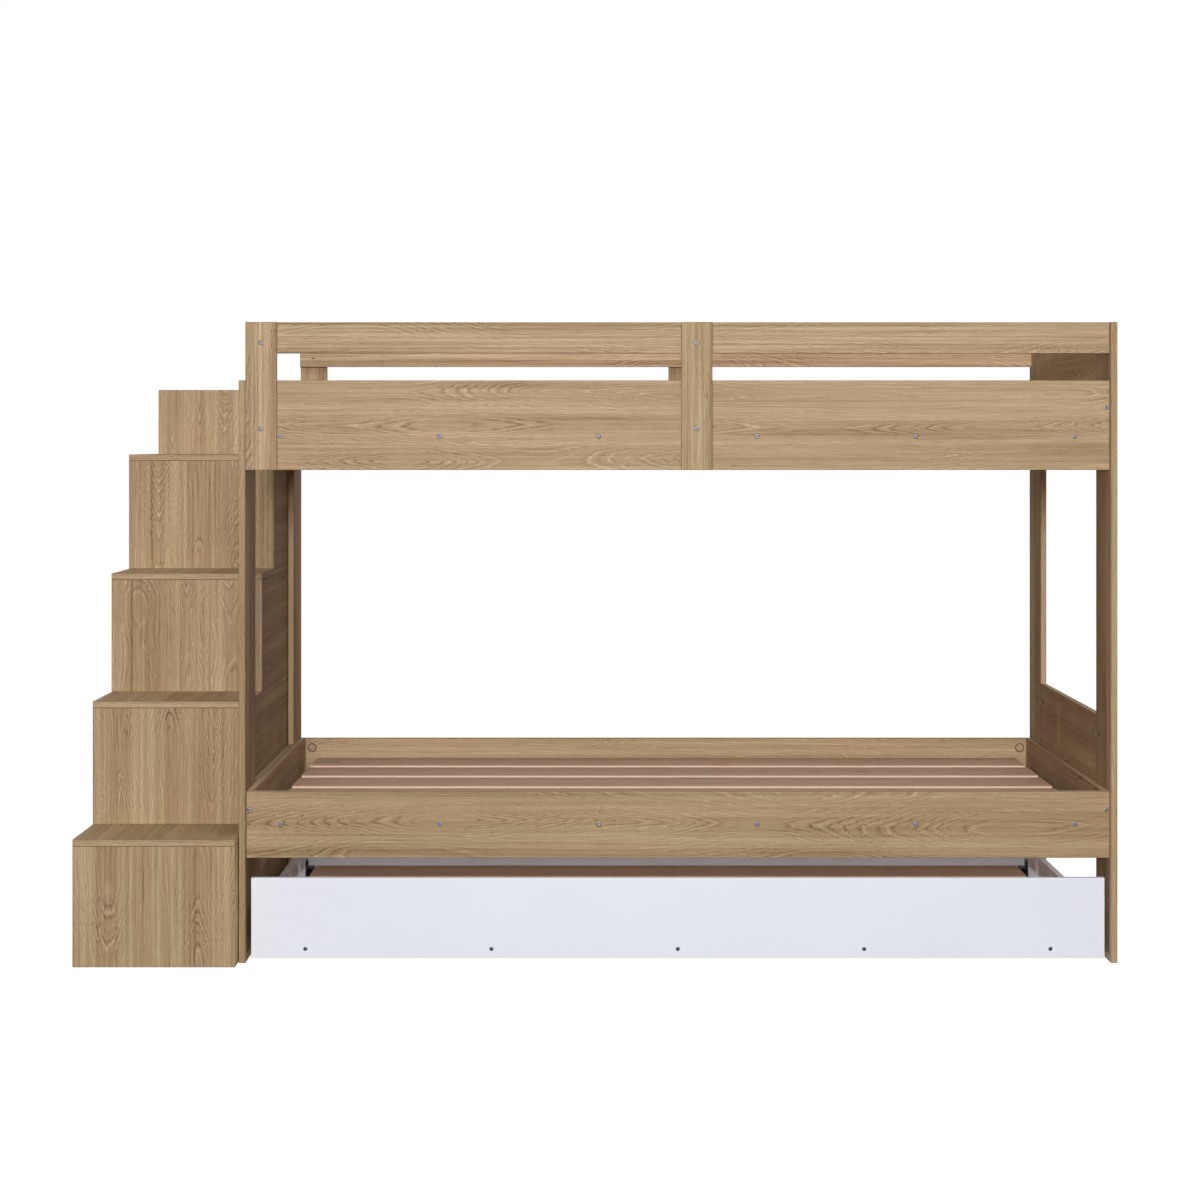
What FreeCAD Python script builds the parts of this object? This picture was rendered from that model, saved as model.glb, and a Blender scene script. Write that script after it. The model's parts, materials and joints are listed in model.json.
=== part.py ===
import FreeCAD, Part
import os
import re
import Sketcher

# Bunk bed with stairs on its left and a rolling trundle below, in millimetres.
# +X runs along the bed to its right end, +Y from the open front to the back, +Z up.
# The origin is on the floor, in the middle of the bed and stairs together.

BUNK_BARS = 6
TRUNDLE_BARS = 5
SLATS = 5
STEPS = 4
TREAD_DOWELS = 3

SIZES = [
    # Boards
    ("board", 15),
    ("edge_ease", 0.6),
    ("bed_inner_length", 1945),
    ("bed_depth", 1037),
    ("post_width", 163),
    ("lower_rail_bottom", 234),
    ("lower_rail_height", 150),
    ("upper_rail_bottom", 1108),
    ("upper_rail_height", 202),
    ("guard_gap", 61),
    ("guard_height", 70),
    ("foot_panel_height", 308),
    ("stile_width", 70),
    ("middle_stile_offset", 980),
    # Slatted bases
    ("bar_rise", 76),
    ("bar_width", 25),
    ("bar_height", 32),
    ("bar_stile_gap", 8),
    ("slat_thickness", 10),
    ("slat_gap", 36),
    ("slat_side_margin", 31.5),
    ("slat_end_gap", 35),
    # Stairs
    ("stair_width", 362.5),
    ("stair_gap", 1.5),
    ("stair_lead", 45),
    ("step_rise", 285),
    ("tread_run", 219),
    # Trundle
    ("trundle_side_clearance", 11),
    ("trundle_back_gap", 57),
    ("trundle_floor_gap", 8),
    ("trundle_front_height", 181),
    ("trundle_wall_height", 100),
    ("trundle_bar_centre", 29),
    ("trundle_bar_inset", 122),
    ("trundle_slat_margin", 10.5),
    ("trundle_slat_end_gap", 24),
    # Screws
    ("screw_shank", 5),
    ("screw_length", 50),
    ("stile_screw_reserve", 1.8),
    ("screw_head", 11),
    ("trundle_screw_head", 9),
    ("screw_head_height", 2.2),
    ("screw_head_top", 8),
    ("screw_socket", 4),
    ("screw_socket_depth", 1.5),
    ("drill_clearance", 0.2),
    ("cut_overrun", 2),
    ("guard_screw_rise", 23),
    ("rail_screw_rise", 93),
    ("upper_end_screw_drop", 61),
    ("lower_end_screw_drop", 42),
    # Cover caps on the rails
    ("cap_diameter", 24),
    ("cap_thickness", 1.2),
    ("cap_ease", 0.5),
    ("cap_inset", 32),
    ("cap_drop", 25),
    # Cam locks between posts and cross panels
    ("cam_diameter", 15),
    ("cam_depth", 12),
    ("cam_offset", 34),
    ("cam_edge", 42),
    ("cam_bolt", 6),
    ("cam_bolt_seat", 10),
    # Dowels in the stairs
    ("dowel_diameter", 8),
    ("dowel_length", 28),
    ("dowel_seat", 9),
    ("dowel_inset", 40),
    # Casters
    ("wheel_diameter", 50),
    ("wheel_width", 14),
    ("wheel_rim", 38),
    ("wheel_hub", 16),
    ("wheel_recess", 2.5),
    ("wheel_ease", 1.5),
    ("wheel_play", 0.6),
    ("axle_diameter", 6),
    ("axle_head", 10),
    ("axle_head_height", 1.6),
    ("axle_clearance", 0.06),
    ("bracket_gauge", 2),
    ("bracket_length", 42),
    ("bracket_skirt", 9),
    ("bracket_headroom", 3),
    ("bracket_tab", 18),
    ("caster_inset", 32),
    ("caster_screw_shank", 3.6),
    ("caster_screw_length", 12),
    ("caster_screw_head", 7),
    ("caster_screw_pitch", 20),
]

# Places and sizes that follow from the driving ones.
PLACES = {
    "overall_length": "stair_width + stair_gap + bed_inner_length + 2 * board",
    "stair_left": "0 - overall_length / 2",
    "stair_right": "stair_left + stair_width",
    "left_outer": "stair_right + stair_gap",
    "left_inner": "left_outer + board",
    "right_inner": "left_inner + bed_inner_length",
    "bed_middle": "(left_inner + right_inner) / 2",
    "stair_front": "0 - (bed_depth + stair_lead) / 2",
    "bed_front": "stair_front + stair_lead",
    "bed_back": "bed_front + bed_depth",
    "stair_back_front": "bed_back - board",
    "rail_front": "bed_front + board",
    "well_front": "rail_front + board",
    "well_back": "bed_back - 2 * board",
    "well_depth": "well_back - well_front",
    "panel_front": "bed_front + post_width",
    "panel_back": "bed_back - post_width",
    "panel_length": "panel_back - panel_front",
    "lower_rail_top": "lower_rail_bottom + lower_rail_height",
    "upper_rail_top": "upper_rail_bottom + upper_rail_height",
    "guard_bottom": "upper_rail_top + guard_gap",
    "bed_top": "guard_bottom + guard_height",
    "stile_height": "bed_top - upper_rail_bottom",
    "middle_stile_left": "left_inner + middle_stile_offset",
    "bar_inset": "stile_width + bar_stile_gap",
    "bar_pitch": f"(bed_inner_length - 2 * bar_inset) / {BUNK_BARS - 1}",
    "slat_length": "bed_inner_length - 2 * board - 2 * slat_end_gap",
    "slat_width": f"(well_depth - 2 * slat_side_margin - {SLATS - 1} * slat_gap) / {SLATS}",
    "trundle_length": "bed_inner_length - 2 * trundle_side_clearance",
    "trundle_left": "left_inner + trundle_side_clearance",
    "trundle_right": "right_inner - trundle_side_clearance",
    "trundle_back": "bed_back - trundle_back_gap",
    "trundle_well_front": "rail_front + board",
    "trundle_well_back": "trundle_back - board",
    "trundle_well_depth": "trundle_well_back - trundle_well_front",
    "trundle_bar_pitch": f"(trundle_length - 2 * trundle_bar_inset) / {TRUNDLE_BARS - 1}",
    "trundle_slat_length": "trundle_length - 2 * board - 2 * trundle_slat_end_gap",
    "trundle_slat_width":
        f"(trundle_well_depth - 2 * trundle_slat_margin - {SLATS - 1} * slat_gap) / {SLATS}",
    "trundle_slat_bottom": "trundle_bar_centre + bar_height / 2",
    "drill": "screw_shank + 2 * drill_clearance",
    "head_pocket": "screw_head + 2 * drill_clearance",
    "trundle_head_pocket": "trundle_screw_head + 2 * drill_clearance",
    "bar_hole_depth": "screw_length + screw_head_height - board + drill_clearance",
    "stile_screw_length": "2 * board - screw_head_height - stile_screw_reserve",
    "blind_hole_depth": "board - stile_screw_reserve + drill_clearance",
    "cam_pocket": "cam_diameter + 2 * drill_clearance",
    "cam_bolt_hole": "cam_bolt + 2 * drill_clearance",
    "cam_bolt_length": "2 * cam_offset - cam_pocket",
    "rail_bolt_length": "cap_inset - cam_pocket / 2 + cam_bolt_seat",
    "dowel_hole": "dowel_diameter + 2 * drill_clearance",
    "stair_right_wall": "stair_right - board",
    "axle_height": "wheel_diameter / 2",
    "bracket_inner_width": "wheel_width + 2 * wheel_play",
    "bracket_width": "bracket_inner_width + 2 * bracket_gauge",
    "bracket_bottom": "axle_height - bracket_skirt",
    "bridge_bottom": "wheel_diameter + bracket_headroom",
    "bridge_top": "bridge_bottom + bracket_gauge",
    "tab_top": "bridge_top + bracket_tab",
    "tab_middle": "bridge_top + bracket_tab / 2",
    "axle_hole": "axle_diameter + 2 * axle_clearance",
    "axle_length": "bracket_width",
    "caster_drill": "caster_screw_shank + 2 * drill_clearance",
}

doc = FreeCAD.newDocument("BunkBed")
sheet = doc.addObject("Spreadsheet::Sheet", "Sizes")
for row, (alias, value) in enumerate(SIZES, start=1):
    sheet.set(f"A{row}", alias)
    sheet.set(f"B{row}", str(value))
    sheet.setAlias(f"B{row}", alias)
doc.recompute()

TURNS = {
    "+x": FreeCAD.Rotation(FreeCAD.Vector(0, 1, 0), 90),
    "-x": FreeCAD.Rotation(FreeCAD.Vector(0, 1, 0), -90),
    "+y": FreeCAD.Rotation(FreeCAD.Vector(1, 0, 0), -90),
    "-y": FreeCAD.Rotation(FreeCAD.Vector(1, 0, 0), 90),
    "+z": FreeCAD.Rotation(),
    "-z": FreeCAD.Rotation(FreeCAD.Vector(1, 0, 0), 180),
    "half": FreeCAD.Rotation(FreeCAD.Vector(0, 0, 1), 180),
}

OPPOSITE = {"+": "-", "-": "+"}

subparts = []


def formula(words):
    """Spell a size or place out in cells of the sheet."""
    def spell(match):
        word = match.group()
        if word in PLACES:
            return "(" + formula(PLACES[word]) + ")"
        return "Sizes." + word
    return re.sub(r"[a-z][a-z_]*", spell, words)


def put(item, point, turn="+z"):
    """Turn an item and bind its place to the sheet."""
    item.Placement = FreeCAD.Placement(FreeCAD.Vector(), TURNS[turn])
    for axis, words in zip("xyz", point):
        item.setExpression(f"Placement.Base.{axis}", formula(words))


def keep(item, label):
    """Name an item as a sub-part."""
    item.Label = label
    subparts.append(item)
    return item


def box(name, low, size):
    block = doc.addObject("Part::Box", name)
    for side, words in zip(("Length", "Width", "Height"), size):
        block.setExpression(side, formula(words))
    put(block, low)
    return block


def rod(name, start, turn, diameter, length):
    """A round bar from a start point, along a signed axis."""
    bar = doc.addObject("Part::Cylinder", name)
    bar.setExpression("Radius", formula(f"({diameter}) / 2"))
    bar.setExpression("Height", formula(length))
    put(bar, start, turn)
    return bar


def eased(name, base, size, edges=None):
    """Break the sharp edges of a piece by a named size."""
    doc.recompute()
    chamfer = doc.addObject("Part::Chamfer", name)
    chamfer.Base = base
    width = sheet.get(size)
    if edges is None:
        edges = range(1, len(base.Shape.Edges) + 1)
    chamfer.Edges = [(edge, width, width) for edge in edges]
    return chamfer


def together(name, items):
    """Several loose solids as one object."""
    group = doc.addObject("Part::Compound", name)
    group.Links = items
    return group


def less(name, base, tools):
    """A piece with its tools cut away."""
    cut = doc.addObject("Part::Cut", name)
    cut.Base = base
    cut.Tool = tools[0] if len(tools) == 1 else together(name + "_tools", tools)
    return cut


def plank(name, low, size, holes=()):
    """A square-cut board with eased edges and round holes of (start, turn, diameter, depth)."""
    piece = eased(name + "_eased", box(name + "_blank", low, size), "edge_ease")
    if holes:
        tools = [rod(f"{name}_drill_{count}", *hole) for count, hole in enumerate(holes)]
        piece = less(name + "_drilled", piece, tools)
    return piece


def board(label, low, size, holes=()):
    return keep(plank(label, low, size, holes), label)


def copies(name, master, spots):
    """Linked copies of one piece at spots of (point, turn)."""
    links = []
    for count, (point, turn) in enumerate(spots):
        link = doc.addObject("App::Link", f"{name}_{count}")
        link.LinkedObject = master
        link.LinkTransform = False
        put(link, point, turn)
        links.append(link)
    return links


def screw(name, shank, length, head):
    """A pan-head screw: its head seats at zero and its shank runs up +Z."""
    stem = rod(name + "_stem", ("0", "0", "0"), "+z", shank, length)
    crown = doc.addObject("Part::Cone", name + "_crown")
    crown.setExpression("Radius1", formula(f"({head}) * screw_head_top / screw_head / 2"))
    crown.setExpression("Radius2", formula(f"({head}) / 2"))
    crown.setExpression("Height", formula("screw_head_height"))
    put(crown, ("0", "0", "0 - screw_head_height"))
    solid = doc.addObject("Part::Fuse", name + "_solid")
    solid.Base = crown
    solid.Tool = stem
    socket = doc.addObject("Part::Prism", name + "_socket")
    socket.Polygon = 6
    socket.setExpression("Circumradius", formula(f"({head}) * screw_socket / screw_head / 2"))
    socket.setExpression("Height", formula("screw_socket_depth + cut_overrun"))
    put(socket, ("0", "0", "0 - screw_head_height - cut_overrun"))
    return less(name, solid, [socket])


def outline(sketch, points):
    """A closed outline of straight runs whose corners are bound to the sheet."""
    count = len(points)
    corners = [FreeCAD.Vector(sheet_value(across), sheet_value(up), 0) for across, up in points]
    for start in range(count):
        sketch.addGeometry(Part.LineSegment(corners[start], corners[(start + 1) % count]), False)
    for line in range(count):
        sketch.addConstraint(Sketcher.Constraint("Coincident", line, 2, (line + 1) % count, 1))
    for line, (across, up) in enumerate(points):
        for kind, words in (("DistanceX", across), ("DistanceY", up)):
            value = sheet_value(words)
            index = sketch.addConstraint(Sketcher.Constraint(kind, -1, 1, line, 1, value))
            sketch.setExpression(f"Constraints[{index}]", formula(words))


def sheet_value(words):
    return float(sheet.evalExpression(formula(words)))


def origin_plane(body, role):
    return next(plane for plane in body.Origin.OriginFeatures if plane.Role == role)


def bar_x(count):
    return f"left_inner + bar_inset + {count} * bar_pitch"


def trundle_bar_x(count):
    return f"trundle_left + trundle_bar_inset + {count} * trundle_bar_pitch"


def back_turn(turn):
    return OPPOSITE[turn[0]] + turn[1]


def step_along(point, turn, words):
    """A point moved along a signed axis by a size."""
    sign, axis = turn
    index = "xyz".index(axis)
    moved = list(point)
    moved[index] = f"{moved[index]} {sign} ({words})"
    return tuple(moved)


def drilled(point, turn, diameter, depth):
    """A round hole into a face, along a signed axis, with the cut's overrun in front of the face."""
    return step_along(point, back_turn(turn), "cut_overrun"), turn, diameter, f"{depth} + cut_overrun"


def through_hole(point, turn):
    """A screw hole right through one board, from its outside face."""
    return drilled(point, turn, "drill", "board + cut_overrun")


def sunk_hole(point, turn, pocket="head_pocket"):
    """A through hole with a pocket for the screw's head."""
    return [through_hole(point, turn), drilled(point, turn, pocket, "screw_head_height")]


def end_hole(point, turn):
    """A blind hole for a screw's point, in the end of a piece behind a rail or wall."""
    return drilled(point, turn, "drill", "bar_hole_depth")


def head_seat(point, turn):
    """The spot of a screw whose head lies flush with a face."""
    return step_along(point, turn, "screw_head_height"), turn


# The front and back of the bed: where its rails and stiles lie, and which way their screws run.
FACES = {
    "front": {"low": "rail_front", "face": "rail_front", "turn": "+y",
              "stile_low": "bed_front", "stile_face": "bed_front", "inner": "well_front"},
    "back": {"low": "well_back", "face": "bed_back - board", "turn": "-y",
             "stile_low": "bed_back - board", "stile_face": "bed_back", "inner": "well_back"},
}
STILES = (("left", "left_inner"), ("middle", "middle_stile_left"))
ENDS = {"left": {"inner": "left_inner", "turn": "-x"}, "right": {"inner": "right_inner", "turn": "+x"}}
RAIL_TOPS = {"upper": "upper_rail_top", "lower": "lower_rail_top"}

# Holes of each drilled board, by its label, gathered before the boards are made.
holes_of = {}
cam_spots = []
cam_bolt_spots = []
rail_bolt_spots = []
stair_screw_spots = []


def drill_into(label, *holes):
    holes_of.setdefault(label, []).extend(holes)


def panel_cams(end, panel, bottom, top):
    """Cam locks from both posts of an end into one cross panel, near its bottom and top edges."""
    inner, turn = ENDS[end]["inner"], ENDS[end]["turn"]
    mid_board = f"{inner} {turn[0]} board / 2"
    for height in (f"{bottom} + cam_edge", f"{top} - cam_edge"):
        for post, joint, post_turn in (("front", "panel_front", "-y"), ("back", "panel_back", "+y")):
            for piece, way in ((f"{end}_{post}_post", post_turn), (panel, back_turn(post_turn))):
                disc = step_along((inner, joint, height), way, "cam_offset")
                drill_into(piece, drilled(disc, turn, "cam_pocket", "cam_depth"),
                           drilled((mid_board, joint, height), way, "cam_bolt_hole", "cam_offset"))
                cam_spots.append((disc, turn))
            cam_bolt_spots.append(((mid_board, f"{joint} - cam_bolt_length / 2", height), "+y"))


# Cam locks between the posts and the cross panels.
panel_cams("right", "right_lower_panel", "lower_rail_bottom", "lower_rail_bottom + foot_panel_height")
panel_cams("right", "right_upper_panel", "upper_rail_bottom", "bed_top")
panel_cams("left", "left_lower_panel", "lower_rail_bottom", "lower_rail_top")
panel_cams("left", "left_upper_panel", "upper_rail_bottom", "upper_rail_top")

# Cam locks in the rails' inner faces, with bolts into the posts: the cover caps lie over them.
cap_spots = []
for face, side in FACES.items():
    outward = back_turn(side["turn"])
    for bunk, top in RAIL_TOPS.items():
        for end, wall in ENDS.items():
            turn = wall["turn"]
            z = f"{top} - cap_drop"
            rail_end = (wall["inner"], f"{side['low']} + board / 2", z)
            disc = step_along((wall["inner"], side["inner"], z), back_turn(turn), "cap_inset")
            drill_into(f"{bunk}_{face}_rail", drilled(disc, outward, "cam_pocket", "cam_depth"),
                       drilled(rail_end, back_turn(turn), "cam_bolt_hole", "cap_inset"))
            drill_into(f"{end}_{face}_post",
                       drilled(rail_end, turn, "cam_bolt_hole", "cam_bolt_seat + drill_clearance"))
            cam_spots.append((disc, outward))
            bolt_start = step_along(rail_end, back_turn(turn), "cap_inset - cam_pocket / 2")
            rail_bolt_spots.append((bolt_start, turn))
            cap_spots.append((disc, side["turn"]))

# Screws from inside the stair boxes, through their right sides into the posts beside them.
stair_fixings = [(step, "left_back_post", "panel_back + post_width / 2") for step in range(1, STEPS + 1)]
stair_fixings.append((1, "left_front_post", "bed_front + post_width / 2"))
for step, post, y in stair_fixings:
    z = f"{step - 1} * step_rise + (step_rise - board) / 2"
    drill_into(f"stair_right_side_{step}", *sunk_hole(("stair_right_wall", y, z), "+x"))
    drill_into(post, drilled(("left_outer", y, z), "+x", "drill", "blind_hole_depth - stair_gap"))
    stair_screw_spots.append(head_seat(("stair_right_wall", y, z), "+x"))

# End panels: two posts that stand on the floor and two cross panels between them.
for end, x_low, post_top, foot_height, head_height in (
        ("right", "right_inner", "bed_top", "foot_panel_height", "bed_top - upper_rail_bottom"),
        ("left", "left_outer", "upper_rail_top", "lower_rail_height", "upper_rail_height")):
    for post, y_low in (("front", "bed_front"), ("back", "panel_back")):
        name = f"{end}_{post}_post"
        board(name, (x_low, y_low, "0"), ("board", "post_width", post_top), holes_of[name])
    for panel, z_low, height in (("lower", "lower_rail_bottom", foot_height),
                                 ("upper", "upper_rail_bottom", head_height)):
        name = f"{end}_{panel}_panel"
        board(name, (x_low, "panel_front", z_low), ("board", "panel_length", height), holes_of[name])

cam = rod("cam", ("0", "0", "0"), "+z", "cam_diameter", "cam_depth")
cam_bolt = rod("cam_bolt", ("0", "0", "0"), "+z", "cam_bolt", "cam_bolt_length")
rail_bolt = rod("rail_bolt", ("0", "0", "0"), "+z", "cam_bolt", "rail_bolt_length")
keep(together("cam_locks", copies("cam", cam, cam_spots) + copies("cam_bolt", cam_bolt, cam_bolt_spots)
              + copies("rail_bolt", rail_bolt, rail_bolt_spots)), "cam_locks")

# Screws: heads sunk flush in the rails and stiles, shanks into the cross bars, end rails and guard boards.
wood_screw = screw("wood_screw", "screw_shank", "screw_length", "screw_head")
stile_screw = screw("stile_screw", "screw_shank", "stile_screw_length", "screw_head")
wall_screw = screw("wall_screw", "screw_shank", "screw_length", "trundle_screw_head")
caster_screw = screw("caster_screw", "caster_screw_shank", "caster_screw_length", "caster_screw_head")
screw_spots = []
stile_screw_spots = []


def bunk_rail(label, side, bottom, height, screw_drop, screwed_ends, stiles):
    """A long side rail, with its holes for the bars, the end rails and the stiles."""
    spots = [(bar_x(count), f"{bottom} + bar_rise") for count in range(BUNK_BARS)]
    spots += [(x, f"{bottom} + {height} - {screw_drop}") for x in screwed_ends]
    for x, z in spots:
        point = (x, side["face"], z)
        drill_into(label, *sunk_hole(point, side["turn"]))
        screw_spots.append(head_seat(point, side["turn"]))
    for _, stile_left in stiles:
        point = (f"{stile_left} + stile_width / 2", side["face"], f"{bottom} + rail_screw_rise")
        drill_into(label, through_hole(point, side["turn"]))
    board(label, ("left_inner", side["low"], bottom), ("bed_inner_length", "board", height),
          holes_of[label])


left_end_x = "left_inner + board / 2"
right_end_x = "right_inner - board / 2"
for face, side in FACES.items():
    bunk_rail(f"upper_{face}_rail", side, "upper_rail_bottom", "upper_rail_height",
              "upper_end_screw_drop", [right_end_x], STILES)
    bunk_rail(f"lower_{face}_rail", side, "lower_rail_bottom", "lower_rail_height",
              "lower_end_screw_drop", [left_end_x, right_end_x], ())
    guard_holes = []
    for stile, stile_left in STILES:
        x = f"{stile_left} + stile_width / 2"
        heights = ("upper_rail_bottom + rail_screw_rise", "guard_bottom + guard_screw_rise")
        stile_holes = []
        for z in heights:
            point = (x, side["stile_face"], z)
            stile_holes += sunk_hole(point, side["turn"])
            stile_screw_spots.append(head_seat(point, side["turn"]))
        guard_holes.append(through_hole((x, side["face"], heights[1]), side["turn"]))
        board(f"{face}_{stile}_stile", (stile_left, side["stile_low"], "upper_rail_bottom"),
              ("stile_width", "board", "stile_height"), stile_holes)
    board(f"guard_{face}_rail", ("left_inner", side["low"], "guard_bottom"),
          ("bed_inner_length", "board", "guard_height"), guard_holes)

# End rails close the two bunk frames inside the end panels.
for bunk, bottom, height, drop, screwed in (
        ("upper", "upper_rail_bottom", "upper_rail_height", "upper_end_screw_drop", ("right",)),
        ("lower", "lower_rail_bottom", "lower_rail_height", "lower_end_screw_drop", ("left", "right"))):
    for end, x_low, x_middle in (("left", "left_inner", left_end_x),
                                 ("right", "right_inner - board", right_end_x)):
        holes = []
        if end in screwed:
            z = f"{bottom} + {height} - {drop}"
            holes = [end_hole((x_middle, "well_front", z), "+y"), end_hole((x_middle, "well_back", z), "-y")]
        board(f"{bunk}_{end}_end_rail", (x_low, "well_front", bottom),
              ("board", "well_depth", height), holes)


def slatted_base(prefix, bar_spots, bar_length, slat_size, slat_spots):
    """Cross bars drilled at both ends, and the long slats that lie on them."""
    holes = [end_hole(("bar_width / 2", "0", "bar_height / 2"), "+y"),
             end_hole(("bar_width / 2", bar_length, "bar_height / 2"), "-y")]
    bar = plank(prefix + "_bar", ("0", "0", "0"), ("bar_width", bar_length, "bar_height"), holes)
    slat = plank(prefix + "_slat", ("0", "0", "0"), slat_size)
    for kind, piece, spots in (("cross_bars", bar, bar_spots), ("slats", slat, slat_spots)):
        label = f"{prefix}_{kind}"
        keep(together(label, copies(label + "_at", piece, spots)), label)


for bunk, bottom in (("upper", "upper_rail_bottom"), ("lower", "lower_rail_bottom")):
    bar_low = f"{bottom} + bar_rise - bar_height / 2"
    slat_low = f"{bottom} + bar_rise + bar_height / 2"
    slatted_base(
        bunk,
        [((f"{bar_x(count)} - bar_width / 2", "well_front", bar_low), "+z") for count in range(BUNK_BARS)],
        "well_depth",
        ("slat_length", "slat_width", "slat_thickness"),
        [(("bed_middle - slat_length / 2",
           f"well_front + slat_side_margin + {count} * (slat_width + slat_gap)", slat_low), "+z")
         for count in range(SLATS)])

keep(together("bed_screws", copies("bed_screw", wood_screw, screw_spots)
              + copies("bed_stile_screw", stile_screw, stile_screw_spots + stair_screw_spots)), "bed_screws")

# Cover caps over the cam locks in the rails.
cap_blank = rod("cap_blank", ("0", "0", "0"), "+z", "cap_diameter", "cap_thickness")
doc.recompute()
cap_rim = [count for count, edge in enumerate(cap_blank.Shape.Edges, start=1)
           if edge.Closed and edge.CenterOfMass.z > 0]
cap = eased("cap", cap_blank, "cap_ease", cap_rim)
keep(together("cover_caps", copies("cap_at", cap, cap_spots)), "cover_caps")

# Stairs: closed boxes stacked in steps, each with a riser, two sides and a full-depth tread, held by dowels.
dowel_spots = []


def dowel_across(point, turn, face_piece, edge_piece):
    """One dowel across a joint, seated in a face along its turn and in the edge that meets it."""
    drill_into(face_piece, drilled(point, turn, "dowel_hole", "dowel_seat + drill_clearance"))
    drill_into(edge_piece, drilled(point, back_turn(turn), "dowel_hole",
                                   "dowel_length - dowel_seat + drill_clearance"))
    dowel_spots.append((step_along(point, back_turn(turn), "dowel_length - dowel_seat"), turn))


for step in range(1, STEPS + 1):
    front = f"stair_front + {step - 1} * tread_run"
    floor = f"{step - 1} * step_rise"
    wall_height = "step_rise - board"
    wall_top = f"{step} * step_rise - board"
    wall_front = f"{front} + board"
    wall_length = f"stair_back_front - ({wall_front})"
    riser = f"riser_{step}"
    tread = f"tread_{step}"
    for hand, x_low in (("left", "stair_left"), ("right", "stair_right_wall")):
        wall = f"stair_{hand}_side_{step}"
        x = f"{x_low} + board / 2"
        for z in (f"{floor} + dowel_inset", f"{wall_top} - dowel_inset"):
            dowel_across((x, wall_front, z), "-y", riser, wall)
            dowel_across((x, "stair_back_front", z), "+y", "stair_back_panel", wall)
        for count in range(TREAD_DOWELS):
            share = f"{count} / {TREAD_DOWELS - 1}"
            y = f"{wall_front} + dowel_inset + ({wall_length} - 2 * dowel_inset) * {share}"
            dowel_across((x, y, wall_top), "+z", tread, wall)
        board(wall, (x_low, wall_front, floor), ("board", wall_length, wall_height), holes_of[wall])
    board(riser, ("stair_left", front, floor), ("stair_width", "board", wall_height), holes_of[riser])
    board(tread, ("stair_left", front, wall_top),
          ("stair_width", f"stair_back_front - ({front})", "board"), holes_of[tread])
board("stair_back_panel", ("stair_left", "stair_back_front", "0"),
      ("stair_width", "board", "upper_rail_top"), holes_of["stair_back_panel"])
dowel = rod("dowel", ("0", "0", "0"), "+z", "dowel_diameter", "dowel_length")
keep(together("stair_dowels", copies("dowel_at", dowel, dowel_spots)), "stair_dowels")

# Trundle box: a tall front, lower walls, cross bars and slats.
trundle_screw_spots = []
for count in range(TRUNDLE_BARS):
    for label, face, turn in (("trundle_front", "rail_front", "+y"), ("trundle_back", "trundle_back", "-y")):
        point = (trundle_bar_x(count), face, "trundle_bar_centre")
        drill_into(label, *sunk_hole(point, turn, "trundle_head_pocket"))
        trundle_screw_spots.append(head_seat(point, turn))
board("trundle_front", ("trundle_left", "rail_front", "trundle_floor_gap"),
      ("trundle_length", "board", "trundle_front_height"), holes_of["trundle_front"])
board("trundle_back", ("trundle_left", "trundle_well_back", "trundle_floor_gap"),
      ("trundle_length", "board", "trundle_wall_height"), holes_of["trundle_back"])
slatted_base(
    "trundle",
    [((f"{trundle_bar_x(count)} - bar_width / 2", "trundle_well_front",
       "trundle_bar_centre - bar_height / 2"), "+z") for count in range(TRUNDLE_BARS)],
    "trundle_well_depth",
    ("trundle_slat_length", "trundle_slat_width", "slat_thickness"),
    [(("bed_middle - trundle_slat_length / 2",
       f"trundle_well_front + trundle_slat_margin + {count} * (trundle_slat_width + slat_gap)",
       "trundle_slat_bottom"), "+z") for count in range(SLATS)])

# Casters: one in each inner corner of the trundle, in a bracket screwed to the side wall.
CASTERS = [(end, depth) for end in ("left", "right") for depth in ("front", "back")]
WALLS = {
    "left": {"face": "trundle_left + board", "out_turn": "-x", "turn": "+z"},
    "right": {"face": "trundle_right - board", "out_turn": "+x", "turn": "half"},
}
AXLE_Y = {"front": "trundle_well_front + caster_inset", "back": "trundle_well_back - caster_inset"}
SCREW_SIDES = ("-", "+")

for end, wall in WALLS.items():
    low = "trundle_left" if end == "left" else "trundle_right - board"
    label = f"trundle_{end}_side"
    for axle_y in AXLE_Y.values():
        for sign in SCREW_SIDES:
            point = (wall["face"], f"{axle_y} {sign} caster_screw_pitch / 2", "tab_middle")
            drill_into(label, drilled(point, wall["out_turn"], "caster_drill", "caster_screw_length"))
    board(label, (low, "trundle_well_front", "trundle_floor_gap"),
          ("board", "trundle_well_depth", "trundle_wall_height"), holes_of[label])

# The bracket is a strip folded over the wheel, with a taller tab against the wall.
bracket_body = doc.addObject("PartDesign::Body", "bracket_body")
fold = bracket_body.newObject("Sketcher::SketchObject", "bracket_fold")
fold.AttachmentSupport = [(origin_plane(bracket_body, "XZ_Plane"), "")]
fold.MapMode = "FlatFace"
doc.recompute()
outline(fold, [
    ("0", "bracket_bottom"),
    ("bracket_gauge", "bracket_bottom"),
    ("bracket_gauge", "bridge_bottom"),
    ("bracket_width - bracket_gauge", "bridge_bottom"),
    ("bracket_width - bracket_gauge", "bracket_bottom"),
    ("bracket_width", "bracket_bottom"),
    ("bracket_width", "bridge_top"),
    ("bracket_gauge", "bridge_top"),
    ("bracket_gauge", "tab_top"),
    ("0", "tab_top"),
])
strip = bracket_body.newObject("PartDesign::Pad", "bracket_strip")
strip.Profile = fold
strip.Midplane = True
strip.setExpression("Length", formula("bracket_length"))
doc.recompute()
axle_drill = drilled(("0", "0", "axle_height"), "+x", "axle_hole", "bracket_width + cut_overrun")
bracket_drills = [rod("bracket_axle_drill", *axle_drill)]
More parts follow.
